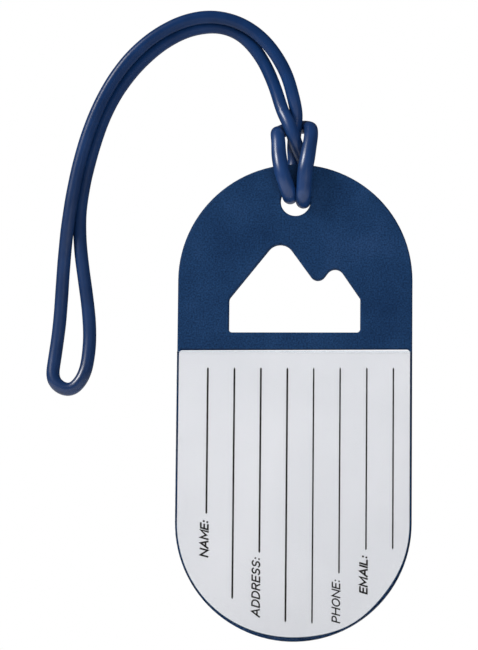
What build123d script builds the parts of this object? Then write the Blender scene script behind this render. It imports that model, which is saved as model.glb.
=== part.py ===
from build123d import *
import math
import os

os.makedirs("parts", exist_ok=True)

# Luggage tag standing upright: X across the tag, Z along it with the strap end
# up, Y through its thickness with the face that is read towards -Y.
# Origin: centre of the tag's capsule outline, on the outer face of the clear
# window film. All sizes in millimetres.

# ---- plate --------------------------------------------------------------
tag_width = 56.0            # across the two straight sides
tag_height = 114.0          # end to end of the capsule
tag_thickness = 2.4
edge_round = 0.4            # rounding on the plate's exposed edges

strap_hole_radius = 3.6
strap_hole_z = 48.1

# ---- window film and the card behind it ---------------------------------
film_thickness = 0.3
pocket_depth = 0.5          # space for the card, between film and plate
film_rim = 0.3              # width of the welded rim round the pocket
mouth_z = 11.7              # film's upper edge, where the card goes in

card_thickness = 0.35
card_side_gap = 0.50        # from the plate's straight sides
card_top_left_z = 11.95     # the card stands a little proud of the film
card_top_right_z = 12.2
card_corner = 0.8

# ---- derived places -----------------------------------------------------
end_radius = tag_width / 2
end_centre_z = tag_height / 2 - end_radius
film_outer_y = 0.0
film_inner_y = film_outer_y + film_thickness
card_front_y = film_inner_y + (pocket_depth - card_thickness) / 2
card_back_y = card_front_y + card_thickness
plate_front_y = film_inner_y + pocket_depth
plate_back_y = plate_front_y + tag_thickness

# Cut-out in the plate: two soft peaks on a straight base, as (x, z) corners.
cutout_left_x = -15.75
cutout_right_x = 15.6
cutout_base_z = 16.4
cutout_shoulder_z = 24.5
cutout_peak_z = 39.8
cutout_corners = [
    (cutout_left_x, cutout_base_z),
    (cutout_left_x, cutout_shoulder_z),
    (-3.5, cutout_peak_z),
    (5.4, 27.6),            # valley between the peaks
    (9.6, 33.2),            # lower peak
    (cutout_right_x, cutout_shoulder_z),
    (cutout_right_x, cutout_base_z),
]
cutout_radii = (0.8, 1.6, 3.4, 2.0, 2.2, 1.6, 0.8)

# The card is hand-trimmed: its gap to the plate's outline varies round the
# bottom curve. Columns: angle from straight down in degrees, gap.
card_gaps = [
    (-84, 0.50), (-72, 0.50), (-60, 0.50), (-45, 0.58), (-30, 0.75),
    (-12, 0.94), (3, 0.97), (16, 0.74), (28, 0.46), (38, 0.52),
    (50, 0.70), (62, 0.62), (73, 0.50), (84, 0.50),
]

# ---- strap centrelines, as (x, y, z) points -----------------------------
cord_radius = 1.6

# The strap is one endless cord, hitched through the hole. It starts at the
# inner strand's lower end, passes behind the plate, comes forward through the
# hole, goes up over the front of the plate's top edge, round behind both
# strands, down the front again, back through the hole and up as the outer
# strand.
hitch_points = [
    (-4.30, 5.55, 72.87), (-3.36, 4.69, 70.36), (-2.20, 3.67, 68.00),
    (-1.15, 3.13, 65.42), (-0.27, 3.37, 62.74), (0.82, 4.53, 60.38),
    (1.97, 4.97, 57.82), (2.25, 5.11, 55.02), (1.95, 5.23, 52.18),
    (1.88, 4.26, 49.47), (1.83, 1.81, 47.85), (1.90, -0.98, 49.15),
    (2.13, -1.48, 52.04), (2.33, -1.97, 54.87), (2.82, -1.66, 57.65),
    (3.21, -0.71, 60.45), (3.57, 0.57, 63.26), (3.59, 2.25, 65.18),
    (3.42, 4.36, 66.27), (2.96, 6.83, 66.94), (1.83, 9.44, 67.61),
    (-0.82, 10.67, 67.75), (-3.43, 9.66, 66.89), (-4.44, 7.11, 65.84),
    (-4.74, 4.62, 65.35), (-4.59, 2.39, 64.52), (-4.27, 0.64, 62.67),
    (-4.09, -0.65, 59.85), (-3.67, -1.57, 57.05), (-3.06, -1.93, 54.29),
    (-2.12, -1.73, 51.57), (-1.37, 0.09, 49.32), (-1.36, 3.08, 49.21),
    (-1.59, 5.47, 50.96), (-1.57, 6.75, 53.47), (-1.03, 7.28, 56.22),
    (-0.67, 7.62, 59.00), (-0.94, 7.30, 61.80), (-0.72, 6.79, 64.58),
    (-0.52, 6.79, 67.39), (-0.30, 6.46, 70.18), (-0.28, 5.65, 72.88),
]
# Doubled run over the top.
upper_outer_points = [
    (-1.20, 5.50, 75.04), (-4.04, 4.94, 83.12), (-9.43, 4.96, 89.89),
    (-17.12, 4.95, 93.94), (-25.79, 4.95, 93.89), (-33.52, 4.95, 90.07),
]
upper_inner_points = [
    (-32.34, 7.65, 88.34), (-25.61, 7.65, 91.83), (-17.93, 7.65, 92.25),
    (-11.46, 7.52, 88.20), (-7.36, 7.19, 81.77), (-4.83, 5.86, 74.78),
]
# Doubled run down the -X side.
side_outer_points = [
    (-34.75, 4.95, 89.25), (-41.09, 4.95, 83.81), (-45.86, 4.95, 76.95),
    (-49.40, 4.95, 69.38), (-51.98, 4.97, 61.44), (-53.75, 4.99, 53.29),
]
side_inner_points = [
    (-51.73, 7.65, 53.18), (-50.03, 7.65, 60.96), (-47.68, 7.65, 68.58),
    (-44.28, 7.65, 75.80), (-39.54, 7.65, 82.23), (-33.55, 7.65, 87.49),
]
# Open loop at the far end, joining the two strands.
far_loop_points = [
    (-54.02, 4.99, 51.83), (-55.22, 5.34, 44.10), (-56.06, 6.32, 36.36),
    (-56.55, 6.77, 28.54), (-56.97, 7.03, 20.72), (-57.90, 6.82, 12.27),
    (-58.18, 6.63, 10.44), (-58.33, 6.36, 8.15), (-58.18, 5.95, 5.82),
    (-57.19, 5.53, 3.66), (-54.94, 5.18, 2.87), (-52.69, 5.20, 3.63),
    (-51.32, 5.43, 5.55), (-50.52, 5.77, 7.74), (-50.09, 6.08, 9.80),
    (-49.67, 6.63, 13.55), (-50.01, 7.09, 21.58), (-51.14, 7.06, 29.09),
    (-52.26, 7.02, 36.60), (-52.77, 7.49, 44.16), (-51.97, 7.65, 51.72),
]
# Share of the shorter neighbouring run that each bend takes up; under 0.5
# leaves a short straight between bends.
bend_share = 0.48

# Sides of the mouth line
ABOVE = 1
BELOW = -1

flat_tolerance = 1e-6       # Y extent of an edge lying in a front or back face
place_tolerance = 1e-3      # for telling edges apart by position


def level(y):
    """XZ plane at depth y; an extrusion from it grows towards -Y."""
    return Plane.XZ.offset(-y)


def half_capsule(side):
    """Draw the part of the tag's outline above or below the mouth line."""
    SlotOverall(tag_height, tag_width, rotation=90)
    trim_to(side)


def trim_to(side):
    """Keep only what the current sketch has on one side of the mouth line."""
    with Locations((0, mouth_z - side * tag_height)):
        Rectangle(2 * tag_width, 2 * tag_height, mode=Mode.SUBTRACT)


def lies_flat(edge):
    return abs(edge.bounding_box().size.Y) < flat_tolerance


def plate_half(side, first_rounded_y):
    """Half of the plate, its outer edges rounded from first_rounded_y back."""
    with BuildPart() as half:
        with BuildSketch(level(plate_back_y)):
            half_capsule(side)
        extrude(amount=tag_thickness)
        rims = (
            half.edges()
            .filter_by(lies_flat)
            .filter_by(lambda e: side * (e.center().Z - mouth_z) > place_tolerance)
            .filter_by(lambda e: e.center().Y > first_rounded_y - place_tolerance)
        )
        fillet(rims, radius=edge_round)
    return half.part


def borders_opening(edge):
    """True for an edge of the cut-out or the strap hole."""
    # The margins keep clear of the plate's outline and the mouth line.
    x = edge.center().X
    z = edge.center().Z
    in_cutout = z < cutout_peak_z + 1
    in_hole = abs(z - strap_hole_z) < 1
    return abs(x) < 17 and z > cutout_base_z - 0.5 and (in_cutout or in_hole)


def make_tag_body():
    upper_half = plate_half(ABOVE, first_rounded_y=plate_front_y)
    # The front edge stays square under the welded film.
    lower_half = plate_half(BELOW, first_rounded_y=plate_back_y)
    with BuildPart() as body:
        add(upper_half)
        add(lower_half)
        # strap hole
        with BuildSketch(level(plate_back_y)):
            with Locations((0, strap_hole_z)):
                Circle(strap_hole_radius)
        extrude(amount=tag_thickness, mode=Mode.SUBTRACT)
        # cut-out
        with BuildSketch(level(plate_back_y)):
            with BuildLine():
                FilletPolyline(*cutout_corners, radius=cutout_radii, close=True)
            make_face()
        extrude(amount=tag_thickness, mode=Mode.SUBTRACT)
        # soften both openings, front and back
        openings = body.edges().filter_by(lies_flat).filter_by(borders_opening)
        fillet(openings, radius=edge_round)
    return body.part


def make_pocket_window():
    with BuildPart() as window:
        # film over the lower part of the plate
        with BuildSketch(level(film_inner_y)):
            half_capsule(BELOW)
        extrude(amount=film_thickness)
        # welded rim down both sides and round the bottom; the top stays open
        with BuildSketch(level(plate_front_y)):
            SlotOverall(tag_height, tag_width, rotation=90)
            SlotOverall(
                tag_height - 2 * film_rim,
                tag_width - 2 * film_rim,
                rotation=90,
                mode=Mode.SUBTRACT,
            )
            trim_to(BELOW)
        extrude(amount=pocket_depth)
    return window.part


def make_info_card():
    right_x = end_radius - card_side_gap
    left_x = -right_x
    bottom_curve = []
    for degrees, gap in card_gaps:
        angle = math.radians(degrees)
        radius = end_radius - gap
        bottom_curve.append(
            (radius * math.sin(angle), -end_centre_z - radius * math.cos(angle))
        )
    with BuildPart() as card:
        with BuildSketch(level(card_back_y)):
            with BuildLine():
                FilletPolyline(
                    (left_x, -end_centre_z),
                    (left_x, card_top_left_z),
                    (right_x, card_top_right_z),
                    (right_x, -end_centre_z),
                    radius=card_corner,
                )
                Spline((left_x, -end_centre_z), *bottom_curve, (right_x, -end_centre_z))
            make_face()
        extrude(amount=card_thickness)
    return card.part


def cord_path(points):
    """Draw a cord's centreline: straight runs joined by an arc at every point."""
    spots = [Vector(*point) for point in points]
    start = spots[0]
    for before, here, after in zip(spots, spots[1:], spots[2:]):
        back = (before - here).normalized()
        ahead = (after - here).normalized()
        inward = (back + ahead).normalized()
        half_angle = math.radians(back.get_angle(ahead)) / 2
        reach = bend_share * min((before - here).length, (after - here).length)
        radius = reach * math.tan(half_angle)
        centre = here + inward * (radius / math.sin(half_angle))
        arc_start = here + back * reach
        arc_end = here + ahead * reach
        Line(start, arc_start)
        ThreePointArc(arc_start, centre - inward * radius, arc_end)
        start = arc_end
    Line(start, spots[-1])


def make_cords(*centrelines):
    """Round cord swept along each table of centreline points."""
    with BuildPart() as cords:
        for points in centrelines:
            with BuildLine() as path:
                cord_path(points)
            with BuildSketch(Plane(origin=path.line @ 0, z_dir=path.line % 0)):
                Circle(cord_radius)
            sweep(path=path.line)
    return cords.part


def save(part, name):
    part.label = name
    export_step(part, f"parts/{name}.step")


save(make_tag_body(), "tag_body")
save(make_pocket_window(), "pocket_window")
save(make_info_card(), "info_card")
save(make_cords(hitch_points), "strap_hitch")
save(make_cords(upper_outer_points, upper_inner_points), "strap_upper")
save(make_cords(side_outer_points, side_inner_points), "strap_side")
save(make_cords(far_loop_points), "strap_far_loop")
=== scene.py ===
# Soft PVC luggage tag: a navy plate with a clear film pocket, a printed card in the pocket
# and a moulded cord strap. The tag stands upright, width along X, height along Z, its front
# towards -Y. The strap knots above the card, arches over towards -X and comes down to a far
# loop beside the tag. The card's words read upwards, along +Z.
import math

import bmesh
import bpy
import numpy as np
from mathutils import Matrix, Vector


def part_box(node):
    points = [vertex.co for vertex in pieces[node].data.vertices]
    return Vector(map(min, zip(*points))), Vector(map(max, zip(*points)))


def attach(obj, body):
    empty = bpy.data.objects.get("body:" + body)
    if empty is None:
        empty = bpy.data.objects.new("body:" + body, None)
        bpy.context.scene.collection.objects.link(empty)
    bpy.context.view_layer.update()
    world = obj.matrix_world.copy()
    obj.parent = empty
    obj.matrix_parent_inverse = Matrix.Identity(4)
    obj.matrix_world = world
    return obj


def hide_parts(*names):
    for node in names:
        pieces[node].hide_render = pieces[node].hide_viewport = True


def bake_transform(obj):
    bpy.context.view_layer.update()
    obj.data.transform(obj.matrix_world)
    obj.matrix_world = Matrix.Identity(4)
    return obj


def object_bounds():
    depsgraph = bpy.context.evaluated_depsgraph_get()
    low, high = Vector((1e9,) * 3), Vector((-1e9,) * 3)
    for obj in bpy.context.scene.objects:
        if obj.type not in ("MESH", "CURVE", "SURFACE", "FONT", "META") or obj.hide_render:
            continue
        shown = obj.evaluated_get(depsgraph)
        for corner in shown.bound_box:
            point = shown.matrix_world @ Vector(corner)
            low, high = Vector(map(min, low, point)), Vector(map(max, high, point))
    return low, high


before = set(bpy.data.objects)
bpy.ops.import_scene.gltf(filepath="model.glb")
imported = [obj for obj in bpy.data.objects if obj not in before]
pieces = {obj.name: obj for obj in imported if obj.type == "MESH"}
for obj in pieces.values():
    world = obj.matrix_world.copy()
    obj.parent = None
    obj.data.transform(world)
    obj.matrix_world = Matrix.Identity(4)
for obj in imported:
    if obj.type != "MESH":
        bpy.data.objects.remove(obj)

CAD_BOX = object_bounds()
MM = 0.001

# ---------------------------------------------------------------------------
# strap dimensions, mm
# ---------------------------------------------------------------------------
# Strap centreline (x, y, z). KNOT_PATH runs through the knot from the inner strand to the
# outer strand. STRAP_PATH carries on from the outer strand over the top, down and round
# the far loop, and back as the inner strand. Together they close.
KNOT_PATH = [
    (-3.34, 4.68, 70.37), (-2.21, 3.73, 67.97), (-1.16, 3.22, 65.41), (-0.25, 3.47, 62.77),
    (0.82, 4.47, 60.36), (1.87, 4.93, 57.80), (2.18, 5.09, 55.02), (1.96, 5.10, 52.21),
    (1.89, 4.10, 49.62), (1.84, 1.79, 48.17), (1.92, -0.75, 49.34), (2.14, -1.45, 52.06),
    (2.36, -1.88, 54.87), (2.81, -1.58, 57.65), (3.20, -0.66, 60.44), (3.53, 0.62, 63.16),
    (3.56, 2.30, 65.08), (3.38, 4.40, 66.22), (2.88, 6.83, 66.93), (1.67, 9.28, 67.55),
    (-0.81, 10.41, 67.64), (-3.26, 9.48, 66.87), (-4.35, 7.10, 65.89), (-4.68, 4.65, 65.31),
    (-4.56, 2.45, 64.40), (-4.28, 1.02, 62.56), (-4.07, -0.12, 59.84), (-3.65, -1.22, 57.05),
    (-3.03, -1.85, 54.30), (-2.14, -1.55, 51.64), (-1.45, 0.22, 49.56), (-1.39, 3.02, 49.43),
    (-1.56, 5.34, 51.06), (-1.51, 6.66, 53.51), (-1.05, 7.24, 56.23), (-0.73, 7.55, 59.01),
    (-0.89, 7.28, 61.80), (-0.72, 6.83, 64.58), (-0.52, 6.75, 67.39), (-0.32, 6.41, 70.17),
]
STRAP_PATH = [
    (-1.12, 5.51, 74.65), (-2.39, 5.27, 78.95), (-4.34, 5.00, 82.99), (-6.89, 4.98, 86.69),
    (-10.07, 4.97, 89.86), (-13.88, 4.96, 92.25), (-18.14, 4.95, 93.66), (-22.62, 4.95, 93.94),
    (-27.03, 4.95, 93.11), (-31.19, 4.95, 91.41), (-35.02, 4.95, 89.06), (-38.49, 4.95, 86.19),
    (-41.56, 4.95, 82.90), (-44.22, 4.95, 79.28), (-46.51, 4.95, 75.41), (-48.45, 4.95, 71.35),
    (-50.09, 4.96, 67.16), (-51.47, 4.96, 62.88), (-52.63, 4.97, 58.53), (-53.59, 4.98, 54.13),
    (-54.37, 5.00, 49.70), (-55.03, 5.26, 45.26), (-55.58, 5.76, 40.81), (-56.02, 6.27, 36.36),
    (-56.35, 6.56, 31.87), (-56.61, 6.80, 27.38), (-56.87, 6.97, 22.89), (-57.20, 6.95, 18.40),
    (-57.70, 6.87, 13.93), (-58.25, 6.52, 9.46), (-57.84, 5.79, 5.01), (-54.19, 5.18, 3.12),
    (-51.12, 5.53, 6.16), (-50.03, 6.17, 10.51), (-49.74, 6.71, 15.00), (-49.91, 7.00, 19.49),
    (-50.39, 7.08, 23.96), (-51.03, 7.06, 28.42), (-51.70, 7.03, 32.87), (-52.27, 7.10, 37.33),
    (-52.60, 7.37, 41.80), (-52.56, 7.53, 46.29), (-52.11, 7.65, 50.77), (-51.34, 7.65, 55.20),
    (-50.31, 7.65, 59.58), (-49.10, 7.65, 63.91), (-47.68, 7.65, 68.18), (-45.93, 7.65, 72.33),
    (-43.77, 7.65, 76.27), (-41.19, 7.65, 79.96), (-38.24, 7.65, 83.35), (-34.94, 7.65, 86.40),
    (-31.28, 7.65, 89.01), (-27.22, 7.65, 90.95), (-22.85, 7.65, 91.96), (-18.37, 7.64, 91.80),
    (-14.25, 7.57, 90.07), (-10.95, 7.45, 87.03), (-8.41, 7.28, 83.33), (-6.49, 6.64, 79.32),
    (-4.95, 5.90, 75.16),
]
CORD_RADIUS = 1.555
CORD_STEP = 0.45        # spacing of the cord's rings
CORD_SIDES = 40
BEAD_SIDES = 14

# Where the cord is cut into pieces
TOP_CUT_OUTER = (-18.0, 4.95, 93.6)
TOP_CUT_INNER = (-18.0, 7.65, 91.7)
SIDE_CUT_OUTER = (-47.6, 4.95, 73.2)
SIDE_CUT_INNER = (-46.0, 7.65, 72.2)
FAR_LOOP_X = -45.0      # the far loop's lowest point is looked for on the -X side of this

# ---------------------------------------------------------------------------
# card print, mm
# ---------------------------------------------------------------------------
# Ruled lines: x, z of the top end, z of the bottom end, width
RULES = [
    (-20.56, 7.85, -27.0, 0.44), (-14.21, 7.85, -47.1, 0.44),
    (-7.90, 7.86, -36.2, 0.44), (-1.60, 7.86, -52.5, 0.44),
    (4.67, 7.87, -52.8, 0.36), (10.96, 7.88, -41.0, 0.36),
    (17.29, 7.88, -35.4, 0.36), (23.59, 7.89, -35.2, 0.36),
]
FIRST_RULE_SEED = 11

# Field words: object name, text, x of the capitals' tops, x of the baseline,
# z where the word starts, z where it ends, stroke width
FIELDS = [
    ("field_name", "NAME:", -22.05, -19.95, -37.4, -28.55, 0.42),
    ("field_address", "ADDRESS:", -9.72, -7.62, -51.45, -37.25, 0.36),
    ("field_phone", "PHONE:", 9.25, 11.3, -52.7, -42.4, 0.33),
    ("field_email", "EMAIL:", 15.72, 17.75, -45.85, -36.7, 0.42),
]
LETTER_SLANT = 0.22     # in cap heights
LETTER_SPACE = 0.27

# Ink thicknesses, metres
INK_HEIGHT = 0.000018       # ink stands this far proud of the card
INK_SINK = 0.000004         # and reaches this far into it
INK_STAGGER = 0.0000015     # height step that keeps crossing strokes apart


# ---------------------------------------------------------------------------
# shader node helpers
# ---------------------------------------------------------------------------
def srgb(red, green, blue):
    """Linear RGBA from 0-255 sRGB."""
    def linear(value):
        value /= 255.0
        return value / 12.92 if value <= 0.04045 else ((value + 0.055) / 1.055) ** 2.4
    return (linear(red), linear(green), linear(blue), 1.0)


def new_material(name):
    material = bpy.data.materials.new(name)
    material.use_nodes = True
    material.node_tree.nodes.clear()
    return material, material.node_tree


def add(tree, kind, inputs, **settings):
    """Add a node. Each input is given a socket to link from, or a plain value."""
    node = tree.nodes.new(kind)
    for key, value in settings.items():
        setattr(node, key, value)
    for key, value in inputs.items():
        if isinstance(value, bpy.types.NodeSocket):
            tree.links.new(value, node.inputs[key])
        else:
            node.inputs[key].default_value = value
    return node


def set_surface(tree, shader):
    add(tree, "ShaderNodeOutputMaterial", {"Surface": shader})


def object_coordinates(tree):
    return add(tree, "ShaderNodeTexCoord", {}).outputs["Object"]


def noise(tree, vector, scale, detail, roughness):
    inputs = {"Vector": vector, "Scale": scale, "Detail": detail, "Roughness": roughness}
    return add(tree, "ShaderNodeTexNoise", inputs).outputs


def ramp(tree, factor, *stops):
    """Colour ramp; each stop is (position, colour)."""
    node = add(tree, "ShaderNodeValToRGB", {"Fac": factor})
    elements = node.color_ramp.elements
    while len(elements) > 1:
        elements.remove(elements[-1])
    elements[0].position, elements[0].color = stops[0]
    for position, colour in stops[1:]:
        elements.new(position).color = colour
    return node.outputs["Color"]


def map_range(tree, value, to_min, to_max, from_min=0.0, from_max=1.0, **settings):
    inputs = {"Value": value, "From Min": from_min, "From Max": from_max,
              "To Min": to_min, "To Max": to_max}
    return add(tree, "ShaderNodeMapRange", inputs, **settings).outputs["Result"]


def calculate(tree, operation, *values):
    node = add(tree, "ShaderNodeMath", dict(enumerate(values)), operation=operation)
    return node.outputs["Value"]


def vector_math(tree, operation, inputs):
    return add(tree, "ShaderNodeVectorMath", inputs, operation=operation).outputs


def mix_colours(tree, blend, factor, first, second):
    node = add(tree, "ShaderNodeMix", {"Factor": factor, "A": first, "B": second},
               data_type="RGBA", blend_type=blend)
    return node.outputs["Result"]


def mix_shaders(tree, factor, first, second):
    return add(tree, "ShaderNodeMixShader", {"Fac": factor, 1: first, 2: second}).outputs["Shader"]


def bump(tree, height, strength, distance, under=None):
    inputs = {"Height": height, "Strength": strength, "Distance": distance}
    if under:
        inputs["Normal"] = under
    return add(tree, "ShaderNodeBump", inputs).outputs["Normal"]


def principled(tree, colour, roughness, specular, normal=None):
    inputs = {"Base Color": colour, "Roughness": roughness, "Specular IOR Level": specular}
    if normal:
        inputs["Normal"] = normal
    return add(tree, "ShaderNodeBsdfPrincipled", inputs).outputs["BSDF"]


def transparent(tree, colour=(1.0, 1.0, 1.0, 1.0)):
    return add(tree, "ShaderNodeBsdfTransparent", {"Color": colour}).outputs["BSDF"]


# ---------------------------------------------------------------------------
# materials
# ---------------------------------------------------------------------------
def make_plate_material():
    """Soft moulded PVC, navy, with a fine matte grain."""
    material, tree = new_material("tag_soft_pvc")
    place = object_coordinates(tree)
    cloud = noise(tree, place, scale=70.0, detail=4.0, roughness=0.55)["Fac"]
    speck = noise(tree, place, scale=2500.0, detail=2.0, roughness=0.6)["Fac"]
    navy = ramp(tree, cloud, (0.28, srgb(18, 45, 80)), (0.52, srgb(25, 54, 91)),
                (0.75, srgb(34, 62, 101)))
    grey = ramp(tree, speck, (0.32, (0.28, 0.28, 0.28, 1)), (0.68, (0.72, 0.72, 0.72, 1)))
    colour = mix_colours(tree, "OVERLAY", 0.85, navy, grey)
    roughness = map_range(tree, speck, to_min=0.46, to_max=0.60)
    grain = noise(tree, place, scale=2600.0, detail=3.0, roughness=0.65)["Fac"]
    pits = add(tree, "ShaderNodeTexVoronoi", {"Vector": place, "Scale": 2100.0}, feature="F1")
    grained = bump(tree, grain, strength=0.6, distance=0.00008)
    normal = bump(tree, pits.outputs["Distance"], strength=0.18, distance=0.00005,
                  under=grained)
    set_surface(tree, principled(tree, colour, roughness, specular=0.07, normal=normal))
    material.diffuse_color = srgb(30, 58, 98)
    return material


def make_strap_material():
    """Flexible moulded cord: deeper navy, smooth satin skin."""
    material, tree = new_material("strap_soft_pvc")
    place = object_coordinates(tree)
    cloud = noise(tree, place, scale=120.0, detail=3.0, roughness=0.5)["Fac"]
    navy = ramp(tree, cloud, (0.3, srgb(16, 47, 92)), (0.55, srgb(20, 54, 103)),
                (0.8, srgb(27, 62, 114)))
    # painted light: the cord's colour is painted brighter round the knot and darker away from it
    knot_middle = (0.0, 0.0, 0.058)
    from_knot = vector_math(tree, "DISTANCE", {0: place, 1: knot_middle})["Value"]
    painted_light_by_knot = map_range(tree, from_knot, from_min=0.010, from_max=0.034, to_min=1.12, to_max=0.80)
    colour = vector_math(tree, "SCALE", {0: navy, "Scale": painted_light_by_knot})["Vector"]
    smear = noise(tree, place, scale=420.0, detail=4.0, roughness=0.6)["Fac"]
    roughness = map_range(tree, smear, to_min=0.30, to_max=0.38)
    wave = noise(tree, place, scale=420.0, detail=2.0, roughness=0.45)["Fac"]
    normal = bump(tree, wave, strength=0.02, distance=0.00005)
    # the upper arc is duller than the knot and the far loop
    height = add(tree, "ShaderNodeSeparateXYZ", {"Vector": place}).outputs["Z"]
    by_height = map_range(tree, height, from_min=0.045, from_max=0.074, to_min=0.70, to_max=0.22)
    by_knot = map_range(tree, from_knot, from_min=0.012, from_max=0.022, to_min=0.72, to_max=0.0)
    specular = calculate(tree, "MAXIMUM", by_height, by_knot)
    set_surface(tree, principled(tree, colour, roughness, specular, normal))
    material.diffuse_color = srgb(36, 58, 108)
    return material


def make_card_material():
    """Uncoated light card: cool off-white with paper fibre drawn out along Z."""
    material, tree = new_material("card_paper")
    place = object_coordinates(tree)
    stretched = add(tree, "ShaderNodeMapping", {"Vector": place, "Scale": (1.0, 1.0, 0.35)})
    fibre = noise(tree, stretched.outputs["Vector"], scale=2400.0, detail=5.0, roughness=0.7)
    cloud = noise(tree, place, scale=45.0, detail=3.0, roughness=0.5)["Fac"]
    paper = ramp(tree, cloud, (0.3, srgb(238, 238, 242)), (0.7, srgb(243, 243, 247)))
    colour = mix_colours(tree, "MULTIPLY", 0.05, paper, fibre["Color"])
    normal = bump(tree, fibre["Fac"], strength=0.25, distance=0.00004)
    set_surface(tree, principled(tree, colour, roughness=0.82, specular=0.25, normal=normal))
    material.diffuse_color = srgb(225, 227, 232)
    return material


def make_mottled_material(name, scale, detail, noise_roughness, dark, light, roughness,
                          specular, viewport):
    """Plain surface, faintly mottled between two colours."""
    material, tree = new_material(name)
    mottle = noise(tree, object_coordinates(tree), scale, detail, noise_roughness)["Fac"]
    colour = ramp(tree, mottle, (0.3, dark), (0.75, light))
    set_surface(tree, principled(tree, colour, roughness, specular))
    material.diffuse_color = viewport
    return material


def make_film_material():
    """Clear flexible PVC film: see-through face on and glossy, with a faint cool tint
    and slight ripple."""
    material, tree = new_material("clear_pvc_film")
    place = object_coordinates(tree)
    ripple = noise(tree, place, scale=38.0, detail=2.0, roughness=0.45)["Fac"]
    fine = noise(tree, place, scale=700.0, detail=2.0, roughness=0.5)["Fac"]
    rippled = bump(tree, ripple, strength=0.10, distance=0.0005)
    normal = bump(tree, fine, strength=0.05, distance=0.00004, under=rippled)
    tint = ramp(tree, ripple, (0.3, (0.972, 0.978, 0.982, 1.0)),
                (0.7, (0.982, 0.986, 0.989, 1.0)))
    clear = transparent(tree, tint)
    gloss = add(tree, "ShaderNodeBsdfGlossy",
                {"Roughness": 0.16, "Color": (0.98, 0.99, 1.0, 1.0), "Normal": normal})
    # reflectance rises toward grazing view, alike from both sides of the sheet
    face_on_reflectance, grazing_gain, grazing_power = 0.028, 0.55, 5.0
    surface = add(tree, "ShaderNodeNewGeometry", {}).outputs
    facing = vector_math(tree, "DOT_PRODUCT", {0: surface["Normal"], 1: surface["Incoming"]})
    facing = calculate(tree, "ABSOLUTE", facing["Value"])
    grazing = calculate(tree, "SUBTRACT", 1.0, facing)
    grazing = calculate(tree, "POWER", grazing, grazing_power)
    reflectance = calculate(tree, "MULTIPLY_ADD", grazing, grazing_gain, face_on_reflectance)
    set_surface(tree, mix_shaders(tree, reflectance, clear, gloss.outputs["BSDF"]))
    material.diffuse_color = (0.9, 0.95, 1.0, 0.25)
    return material


def make_edge_highlight_material():
    """Painted highlight: a pale milky cyan that stands in for the bright line light makes along
    the clear film's edge and the card's cut edge.
    """
    material, tree = new_material("edge_painted_highlight")
    cloud = noise(tree, object_coordinates(tree), scale=260.0, detail=3.0, roughness=0.6)["Fac"]
    clear = transparent(tree, (0.93, 0.97, 1.0, 1.0))
    colour = ramp(tree, cloud, (0.3, srgb(196, 226, 240)), (0.75, srgb(232, 244, 250)))
    painted_highlight = principled(tree, colour, roughness=0.18, specular=0.6)
    highlight_share = map_range(tree, cloud, to_min=0.28, to_max=0.55)
    set_surface(tree, mix_shaders(tree, highlight_share, clear, painted_highlight))
    material.diffuse_color = (0.85, 0.93, 0.97, 0.5)
    return material


PLATE = make_plate_material()
STRAP = make_strap_material()
CARD = make_card_material()
INK = make_mottled_material(
    "printed_ink", scale=3000.0, detail=4.0, noise_roughness=0.7,
    dark=srgb(26, 23, 22), light=srgb(42, 38, 36),
    roughness=0.6, specular=0.3, viewport=srgb(60, 56, 54))
FILM = make_film_material()
EDGE_HIGHLIGHT = make_edge_highlight_material()
# painted shadow: near-black navy for the line of shade above the card
SHADOW_PAINT = make_mottled_material(
    "pocket_painted_shadow", scale=1400.0, detail=3.0, noise_roughness=0.6,
    dark=srgb(5, 14, 30), light=srgb(11, 27, 52),
    roughness=0.8, specular=0.05, viewport=srgb(9, 22, 44))


def set_material(item, material):
    item.data.materials.clear()
    item.data.materials.append(material)


set_material(pieces["tag_body"], PLATE)
set_material(pieces["pocket_window"], FILM)
set_material(pieces["info_card"], CARD)


# ---------------------------------------------------------------------------
# curve and mesh helpers
# ---------------------------------------------------------------------------
def running_length(points):
    return np.r_[0, np.cumsum(np.linalg.norm(np.diff(points, axis=0), axis=1))]


def closed_spline(points, step):
    """Closed cubic spline through the points, sampled evenly about every step.
    Returns the samples and their distances along the curve."""
    knots = np.array(points, float)
    knots = np.vstack([knots, knots[:1]])
    chords = np.linalg.norm(np.diff(knots, axis=0), axis=1)
    marks = np.r_[0, np.cumsum(chords ** 0.75)]
    spans = np.diff(marks)
    count = len(points)

    # second derivatives at the knots, from matching slopes across each one
    matrix = np.zeros((count, count))
    slope_change = np.zeros((count, 3))
    for i in range(count):
        before, after = spans[i - 1], spans[i]
        matrix[i, (i - 1) % count] += before
        matrix[i, i] += 2 * (before + after)
        matrix[i, (i + 1) % count] += after
        slope_change[i] = 6 * ((knots[i + 1] - knots[i]) / after
                               - (knots[i] - knots[(i - 1) % count]) / before)
    bend = np.linalg.solve(matrix, slope_change)
    bend = np.vstack([bend, bend[:1]])

    def at(mark):
        i = np.clip(np.searchsorted(marks, mark, side="right") - 1, 0, count - 1)
        u = (mark - marks[i])[:, None]
        span = spans[i][:, None]
        end = knots[i + 1] / span - bend[i + 1] * span / 6
        start = knots[i] / span - bend[i] * span / 6
        cubic = (bend[i] * (span - u) ** 3 + bend[i + 1] * u ** 3) / (6 * span)
        return cubic + end * u + start * (span - u)

    fine_marks = np.linspace(0, marks[-1], 6000)
    fine_lengths = running_length(at(fine_marks))
    steps = max(8, int(round(fine_lengths[-1] / step)))
    lengths = np.linspace(0, fine_lengths[-1], steps + 1)
    samples = at(np.interp(lengths, fine_lengths, fine_marks))
    return samples[:-1], lengths[:-1]


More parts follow.
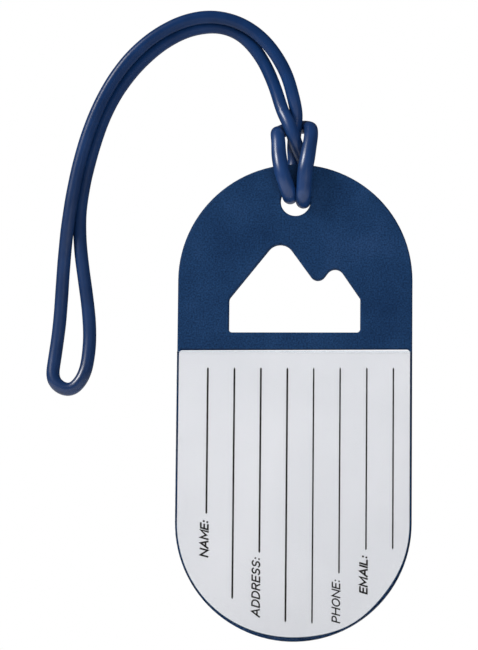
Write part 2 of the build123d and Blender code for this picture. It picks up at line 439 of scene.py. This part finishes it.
def frames_along(line, closed):
    """Two cross-section axes at each point, carried along the line without twisting."""
    if closed:
        heading = np.roll(line, -1, 0) - np.roll(line, 1, 0)
    else:
        heading = np.gradient(line, axis=0)
    tangents = heading / np.linalg.norm(heading, axis=1)[:, None]
    side = np.cross(tangents[0], [0.0, 1.0, 0.0])
    sides = [side / np.linalg.norm(side)]
    for tangent in tangents[1:]:
        side = sides[-1] - np.dot(sides[-1], tangent) * tangent
        sides.append(side / np.linalg.norm(side))
    sides = np.array(sides)
    return sides, np.cross(tangents, sides)


def smoothstep(x, start, end):
    x = np.clip((x - start) / (end - start), 0, 1)
    return x * x * (3 - 2 * x)


def fade_above(x, full, none):
    """1 up to full, easing to 0 at none."""
    return smoothstep(-x, -none, -full)


def link_object(name, data):
    item = bpy.data.objects.new(name, data)
    bpy.context.scene.collection.objects.link(item)
    return item


def tube(name, line, radii, sides, ups, ring):
    """Capped tube of ring-sided sections along a line; line and radii in mm."""
    angles = np.arange(ring) * 2 * math.pi / ring
    cosines, sines = np.cos(angles)[:, None], np.sin(angles)[:, None]
    verts = np.vstack([
        centre + radius * (cosines * side + sines * up)
        for centre, radius, side, up in zip(line, radii, sides, ups)]) * MM
    faces = []
    for i in range(len(line) - 1):
        here, there = i * ring, (i + 1) * ring
        for j in range(ring):
            k = (j + 1) % ring
            faces.append((here + j, here + k, there + k, there + j))
    faces.append(tuple(range(ring - 1, -1, -1)))
    faces.append(tuple((len(line) - 1) * ring + j for j in range(ring)))
    mesh = bpy.data.meshes.new(name)
    mesh.from_pydata([tuple(vert) for vert in verts], [], faces)
    mesh.validate()

    # smooth walls, flat caps with a sharp rim
    bm = bmesh.new()
    bm.from_mesh(mesh)
    bmesh.ops.recalc_face_normals(bm, faces=bm.faces)
    for face in bm.faces:
        face.smooth = len(face.verts) == 4
    for edge in bm.edges:
        if any(len(face.verts) > 4 for face in edge.link_faces):
            edge.smooth = False
    bm.to_mesh(mesh)
    bm.free()
    return link_object(name, mesh)


# ---------------------------------------------------------------------------
# strap: one endless cord, cut into four pieces
# ---------------------------------------------------------------------------
cord, cord_lengths = closed_spline(KNOT_PATH + STRAP_PATH, CORD_STEP)
cord_sides, cord_ups = frames_along(cord, True)


def cord_radii():
    """Fuller in the knot, most of all low on its front, and in the far loop's strands."""
    x, y, z = cord.T
    knot = fade_above(np.abs(x - 0.2), 5.0, 8.0) * fade_above(z, 67.0, 72.0)
    knot_front = knot * fade_above(y, 1.0, 4.0)
    low_front = knot_front * fade_above(z, 57.0, 64.0)
    far_loop = fade_above(z, 40.0, 47.0) * fade_above(x, -46.0, -40.0)
    radii = CORD_RADIUS + 0.045 * far_loop + 0.055 * knot + 0.08 * knot_front + 0.16 * low_front
    # two slow waves make the moulded cord slightly uneven
    return radii + 0.008 * np.sin(cord_lengths * 0.31) + 0.006 * np.sin(cord_lengths * 0.83 + 1.7)


radii = cord_radii()


def nearest(point, first, last):
    """Index of the cord sample nearest the point, from first up to last."""
    return first + int(np.argmin(np.linalg.norm(cord[first:last] - np.array(point), axis=1)))


def cord_piece(name, first, last):
    """Stretch of cord between two samples, running on past the loop's end if need be."""
    count = len(cord)
    picked = [(first + k) % count for k in range((last - first) % count + 1)]
    item = tube(name, cord[picked], radii[picked], cord_sides[picked], cord_ups[picked],
                CORD_SIDES)
    set_material(item, STRAP)
    return item


knot_end = nearest(STRAP_PATH[0], 0, len(cord))
lowest = int(np.argmin(np.where(cord[:, 0] < FAR_LOOP_X, cord[:, 2], 1e9)))
top_outer = nearest(TOP_CUT_OUTER, knot_end, lowest)
side_outer = nearest(SIDE_CUT_OUTER, knot_end, lowest)
side_inner = nearest(SIDE_CUT_INNER, lowest, len(cord))
top_inner = nearest(TOP_CUT_INNER, lowest, len(cord))

knot_cord = cord_piece("strap_knot_cord", top_inner, top_outer)
outer_run = cord_piece("strap_outer_run", top_outer, side_outer)
inner_run = cord_piece("strap_inner_run", side_inner, top_inner)
far_loop_cord = cord_piece("strap_far_loop_cord", side_outer, side_inner)

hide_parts("strap_hitch", "strap_upper")
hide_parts("strap_side")
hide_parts("strap_far_loop")

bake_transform(knot_cord)
for run in (outer_run, inner_run):
    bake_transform(run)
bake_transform(far_loop_cord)


# ---------------------------------------------------------------------------
# card print: ruled lines and field words, laid on the card's front face
# ---------------------------------------------------------------------------
CARD_FRONT = float(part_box("info_card")[0][1])      # y, metres
INK_FRONT = CARD_FRONT - INK_HEIGHT
INK_BACK = CARD_FRONT + INK_SINK


def print_on_card(name, bm):
    """Turn a finished bmesh into an ink object that rides on the card."""
    bmesh.ops.recalc_face_normals(bm, faces=bm.faces)
    mesh = bpy.data.meshes.new(name)
    bm.to_mesh(mesh)
    bm.free()
    item = link_object(name, mesh)
    set_material(item, INK)
    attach(item, "card")


def ruled_line(name, x, z_top, z_bottom, width, seed):
    """A printed rule: a thin raised ribbon with softly rounded ends and a
    slightly uneven edge."""
    random = np.random.RandomState(seed)
    rows, smoothing, unevenness = 150, 9, 0.05
    z = np.linspace(z_top, z_bottom, rows)
    from_end = np.minimum(np.abs(z - z_top), np.abs(z - z_bottom))
    rounding = 1 - (1 - np.clip(from_end / (width * 0.5), 0, 1)) ** 2
    rounding = np.sqrt(np.clip(rounding, 0.06, 1))

    def half_widths():
        wobble = np.convolve(random.randn(rows + smoothing - 1),
                             np.ones(smoothing) / smoothing, "valid")
        return width / 2 * (1 + unevenness * wobble) * rounding

    left, right = half_widths(), half_widths()
    # section, from the left: shoulder, flat front, shoulder, then the back
    shoulder = INK_FRONT + INK_HEIGHT * 0.35
    section_y = (shoulder, INK_FRONT, INK_FRONT, shoulder, INK_BACK, INK_BACK)
    bm = bmesh.new()
    sections = []
    for k in range(rows):
        outer_left, outer_right = x - left[k], x + right[k]
        section_x = (outer_left, x - 0.3 * left[k], x + 0.3 * right[k], outer_right,
                     outer_right, outer_left)
        sections.append([bm.verts.new((across * MM, y, z[k] * MM))
                         for across, y in zip(section_x, section_y)])
    for here, there in zip(sections, sections[1:]):
        for j in range(6):
            k = (j + 1) % 6
            bm.faces.new((here[j], here[k], there[k], there[j]))
    bm.faces.new(sections[0][::-1])
    bm.faces.new(sections[-1])
    print_on_card(name, bm)


def arc(x, y, radius_x, radius_y, start, end, steps):
    """Points along an ellipse's arc, angles in degrees."""
    angles = [math.radians(start + (end - start) * k / steps) for k in range(steps + 1)]
    return [(x + radius_x * math.cos(a), y + radius_y * math.sin(a)) for a in angles]


# plain sans capitals as pen strokes: (width, [strokes]), cap height 1
GLYPHS = {
    "N": (0.74, [[(0, 0), (0, 1), (0.74, 0), (0.74, 1)]]),
    "A": (0.76, [[(0, 0), (0.38, 1), (0.76, 0)], [(0.13, 0.30), (0.63, 0.30)]]),
    "M": (0.86, [[(0, 0), (0, 1), (0.43, 0.22), (0.86, 1), (0.86, 0)]]),
    "E": (0.52, [[(0.52, 1), (0, 1), (0, 0), (0.52, 0)], [(0, 0.52), (0.46, 0.52)]]),
    "D": (0.66, [[(0, 0), (0, 1), (0.22, 1)]
                 + arc(0.22, 0.5, 0.44, 0.5, 90, -90, 14)[1:] + [(0, 0)]]),
    "R": (0.60, [[(0, 0), (0, 1), (0.30, 1)]
                 + arc(0.30, 0.74, 0.27, 0.26, 90, -90, 10)[1:] + [(0, 0.48)],
                 [(0.30, 0.48), (0.60, 0)]]),
    "S": (0.54, [arc(0.28, 0.75, 0.25, 0.25, 30, 250, 12)
                 + arc(0.26, 0.25, 0.27, 0.25, 75, -150, 12)]),
    "P": (0.58, [[(0, 0), (0, 1), (0.30, 1)]
                 + arc(0.30, 0.72, 0.28, 0.28, 90, -90, 10)[1:] + [(0, 0.44)]]),
    "H": (0.70, [[(0, 0), (0, 1)], [(0.70, 0), (0.70, 1)], [(0, 0.52), (0.70, 0.52)]]),
    "O": (0.80, [arc(0.40, 0.5, 0.40, 0.5, 90, -270, 26)]),
    "I": (0.0, [[(0, 0), (0, 1)]]),
    "L": (0.50, [[(0, 1), (0, 0), (0.50, 0)]]),
    ":": (0.0, [[(0.06, 0.08), (0.06, 0.09)], [(0.06, 0.58), (0.06, 0.59)]]),
}


def text_strokes(text):
    """Slanted pen strokes of a whole word, in cap heights."""
    strokes = []
    start = 0.0
    for letter in text:
        width, lines = GLYPHS[letter]
        for line in lines:
            strokes.append([(start + x + LETTER_SLANT * y, y) for x, y in line])
        start += width + LETTER_SPACE
    return strokes


def stroke_edges(points, closed, pen):
    """Left and right edges of a pen stroke, mitred at corners and squared off at ends."""
    count = len(points)
    left, right = [], []
    for i in range(count):
        arriving = points[i] - points[i - 1] if (i or closed) else points[1] - points[0]
        if i < count - 1 or closed:
            leaving = points[(i + 1) % count] - points[i]
        else:
            leaving = arriving
        arriving = arriving / np.linalg.norm(arriving)
        leaving = leaving / np.linalg.norm(leaving)
        normal = np.array((-arriving[1] - leaving[1], arriving[0] + leaving[0]))
        normal /= max(np.linalg.norm(normal), 1e-9)
        # the lower limit keeps sharp corners from shooting out
        straightness = float(normal @ np.array((-arriving[1], arriving[0])))
        reach = pen / 2 / max(straightness, 0.42)
        here = points[i].copy()
        if not closed and i == 0:
            here -= arriving * pen * 0.5
        if not closed and i == count - 1:
            here += leaving * pen * 0.5
        left.append(here + normal * reach)
        right.append(here - normal * reach)
    return left, right


def field_word(name, text, x_top, x_base, z_start, z_end, pen):
    """Field word reading up the card, its capitals' tops towards -X."""
    strokes = text_strokes(text)
    along = [x for stroke in strokes for x, _ in stroke]
    first, last = min(along), max(along)
    cap_height = abs(x_base - x_top) - pen
    run = (z_end - z_start) - pen
    bm = bmesh.new()

    def verts_at(edge, y):
        return [bm.verts.new(((x_base - up) * MM, y, z * MM)) for z, up in edge]

    for k, stroke in enumerate(strokes):
        # card coordinates, mm: z, then height above the baseline
        points = [np.array((z_start + pen / 2 + (x - first) / (last - first) * run,
                            pen / 2 + y * cap_height)) for x, y in stroke]
        closed = len(points) > 3 and np.linalg.norm(points[0] - points[-1]) < 1e-6
        if closed:
            points = points[:-1]
        left, right = stroke_edges(points, closed, pen)
        front = INK_FRONT - INK_STAGGER * (k % 3)
        left_front, right_front = verts_at(left, front), verts_at(right, front)
        left_back, right_back = verts_at(left, INK_BACK), verts_at(right, INK_BACK)
        count = len(points)
        for i in range(count if closed else count - 1):
            j = (i + 1) % count
            bm.faces.new((left_front[i], left_front[j], right_front[j], right_front[i]))
            bm.faces.new((left_back[i], right_back[i], right_back[j], left_back[j]))
            bm.faces.new((left_front[i], left_back[i], left_back[j], left_front[j]))
            bm.faces.new((right_front[i], right_front[j], right_back[j], right_back[i]))
        if not closed:
            bm.faces.new((left_front[0], right_front[0], right_back[0], left_back[0]))
            bm.faces.new((left_front[-1], left_back[-1], right_back[-1], right_front[-1]))
    print_on_card(name, bm)


for i, rule in enumerate(RULES):
    ruled_line("ruled_line_%d" % (i + 1), *rule, seed=FIRST_RULE_SEED + i)
for field in FIELDS:
    field_word(*field)


# ---------------------------------------------------------------------------
# fine beads: painted highlights along the card's cut edge and the film's upper edge, and a painted
# shadow line across the tag
# ---------------------------------------------------------------------------
window_low, window_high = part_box("pocket_window")
HALF_WIDTH = float(window_high[0]) / MM
MOUTH_Z = float(window_high[2]) / MM
# the window's lower end is a half circle about this height
ROUND_CENTRE_Z = float(window_low[2]) / MM + HALF_WIDTH


def bead(name, points, y, radius, material=EDGE_HIGHLIGHT):
    """Thin, slightly uneven tube through (x, z) points at depth y, all in mm."""
    line = np.array([(x, y, z) for x, z in points])
    along = np.linspace(0, 1, len(line))
    uneven = radius * (1 + 0.06 * np.sin(along * 190) + 0.05 * np.sin(along * 77 + 2))
    item = tube(name, line, uneven, *frames_along(line, False), BEAD_SIDES)
    set_material(item, material)
    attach(item, "tag")
    return item


def card_outline():
    """The card's front outline round its sides and lower end, as 420 even (x, z) points."""
    front = {tuple(round(x / MM, 3) for x in vert.co)
             for vert in pieces["info_card"].data.vertices
             if abs(vert.co[1] - CARD_FRONT) < 1e-6}
    rim = [(x, z) for x, _, z in front
           if (z < ROUND_CENTRE_Z or abs(x) > HALF_WIDTH - 2.0) and z < MOUTH_Z - 1.0]
    rim.sort(key=lambda point: math.atan2(point[0], -(point[1] - ROUND_CENTRE_Z)))
    # leave out points crowding the one before
    spaced = [np.array(rim[0])]
    for point in rim[1:]:
        if np.linalg.norm(np.array(point) - spaced[-1]) > 0.35:
            spaced.append(np.array(point))
    spaced = np.array(spaced)
    lengths = running_length(spaced)
    even = np.linspace(0, lengths[-1], 420)
    return list(zip(np.interp(even, lengths, spaced[:, 0]),
                    np.interp(even, lengths, spaced[:, 1])))


# painted highlight: a pale bead traces the card's cut edge
cut_edge = bead("card_cut_edge", card_outline(), y=CARD_FRONT / MM + 0.05, radius=0.055)
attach(cut_edge, "card")

mouth_end = HALF_WIDTH - 0.35
# painted highlight: a pale bead traces the film's mouth
bead("window_mouth_edge", [(x, MOUTH_Z - 0.02) for x in np.linspace(-mouth_end, mouth_end, 160)],
     y=0.15, radius=0.045)

# painted shadow: a dark line just above the card's top stands in for the shade at the pocket
# mouth; it rises slightly towards +X
shadow_line = [(x, 12.30 + 0.13 * smoothstep(x, 2.0, 27.0)) for x in np.linspace(-27.3, 27.3, 200)]
step = bead("pocket_mouth_painted_shadow", shadow_line, y=0.86, radius=0.11, material=SHADOW_PAINT)


# ---------------------------------------------------------------------------
# stage, light, camera; metres
# ---------------------------------------------------------------------------
FLOOR_RADIUS = 4.0
FLOOR_SIDES = 96
FLOOR_GAP = 0.0002
LIGHT_TARGET = Vector((-0.012, 0.0, 0.018))


def make_floor_material():
    """Pale matt floor, seen only from above and fading out away from the middle."""
    material, tree = new_material("studio_floor")
    matt = add(tree, "ShaderNodeBsdfDiffuse", {"Color": (0.86, 0.86, 0.86, 1)})
    surface = add(tree, "ShaderNodeNewGeometry", {}).outputs
    distance = vector_math(tree, "LENGTH", {0: surface["Position"]})["Value"]
    fade = map_range(tree, distance, from_min=0.25, from_max=0.80, to_min=0.0, to_max=1.0,
                     interpolation_type="SMOOTHSTEP")
    hidden = calculate(tree, "MAXIMUM", surface["Backfacing"], fade)
    set_surface(tree, mix_shaders(tree, hidden, matt.outputs["BSDF"], transparent(tree)))
    return material


def make_floor():
    material = make_floor_material()
    angles = [2 * math.pi * i / FLOOR_SIDES for i in range(FLOOR_SIDES)]
    verts = [(0, 0, 0)]
    verts += [(FLOOR_RADIUS * math.cos(a), FLOOR_RADIUS * math.sin(a), 0) for a in angles]
    faces = [(0, i + 1, (i + 1) % FLOOR_SIDES + 1) for i in range(FLOOR_SIDES)]
    mesh = bpy.data.meshes.new("studio_floor")
    mesh.from_pydata(verts, [], faces)
    mesh.update()
    floor = link_object("studio_floor", mesh)
    floor.location = (0, 0, Vector(CAD_BOX[0]).z - FLOOR_GAP)
    floor.data.materials.append(material)


def make_world():
    """White to the camera, dim as light, nearly dark in reflections."""
    world = bpy.data.worlds.new("studio")
    bpy.context.scene.world = world
    world.use_nodes = True
    tree = world.node_tree
    tree.nodes.clear()

    def background(colour, strength):
        node = add(tree, "ShaderNodeBackground", {"Color": colour, "Strength": strength})
        return node.outputs["Background"]

    seen = background((1, 1, 1, 1), strength=1.0)
    ambient = background((0.97, 0.985, 1, 1), strength=0.29)
    reflected = background((0.95, 0.97, 1, 1), strength=0.03)
    ray = add(tree, "ShaderNodeLightPath", {}).outputs
    unseen = mix_shaders(tree, ray["Is Glossy Ray"], ambient, reflected)
    surface = mix_shaders(tree, ray["Is Camera Ray"], unseen, seen)
    add(tree, "ShaderNodeOutputWorld", {"Surface": surface})


def area_light(name, location, size, power, color=(1, 1, 1), size_y=None, reflected=True):
    """Area light aimed at the target; square unless size_y is given."""
    light = bpy.data.lights.new(name, "AREA")
    light.energy = power
    light.color = color
    light.size = size
    if size_y:
        light.shape = "RECTANGLE"
        light.size_y = size_y
    item = link_object(name, light)
    item.location = location
    aim = (LIGHT_TARGET - Vector(location)).normalized()
    item.rotation_euler = aim.to_track_quat("-Z", "Y").to_euler()
    item.visible_camera = False
    item.visible_glossy = reflected


def make_camera():
    data = bpy.data.cameras.new("camera")
    data.sensor_fit = "HORIZONTAL"
    data.sensor_width = 36.0
    data.lens = 256.06695
    data.clip_start = 0.01
    data.clip_end = 20.0
    camera = link_object("camera", data)
    # radians: turn about Z, tilt up from level, roll about the line of sight
    turn, tilt, roll = 0.0712057, 0.126504, 0.0098647
    rotation = (Matrix.Rotation(turn, 4, "Z") @ Matrix.Rotation(math.pi / 2 + tilt, 4, "X")
                @ Matrix.Rotation(roll, 4, "Z"))
    camera.matrix_world = Matrix.Translation((0.043967, -0.801636, -0.084194)) @ rotation
    bpy.context.scene.camera = camera


make_floor()
make_world()
area_light("key_left", (-0.654, -0.377, 0.592), size=0.23, power=6.8, color=(1.0, 0.985, 0.965))
area_light("kick_right", (0.40, -0.79, -0.08), size=0.08, power=0.16, color=(0.97, 0.98, 1.0),
           size_y=0.24)
area_light("fill_front", (0.50, -1.22, 0.06), size=0.9, power=7.3, color=(1.0, 0.992, 0.996),
           reflected=False)
area_light("back_soft", (0.3, 1.1, 0.7), size=0.8, power=2.8, reflected=False)
make_camera()

view = bpy.context.scene.view_settings
view.view_transform = "Standard"
view.look = "None"
view.exposure = 0.0
view.gamma = 1.0

bpy.context.view_layer.update()
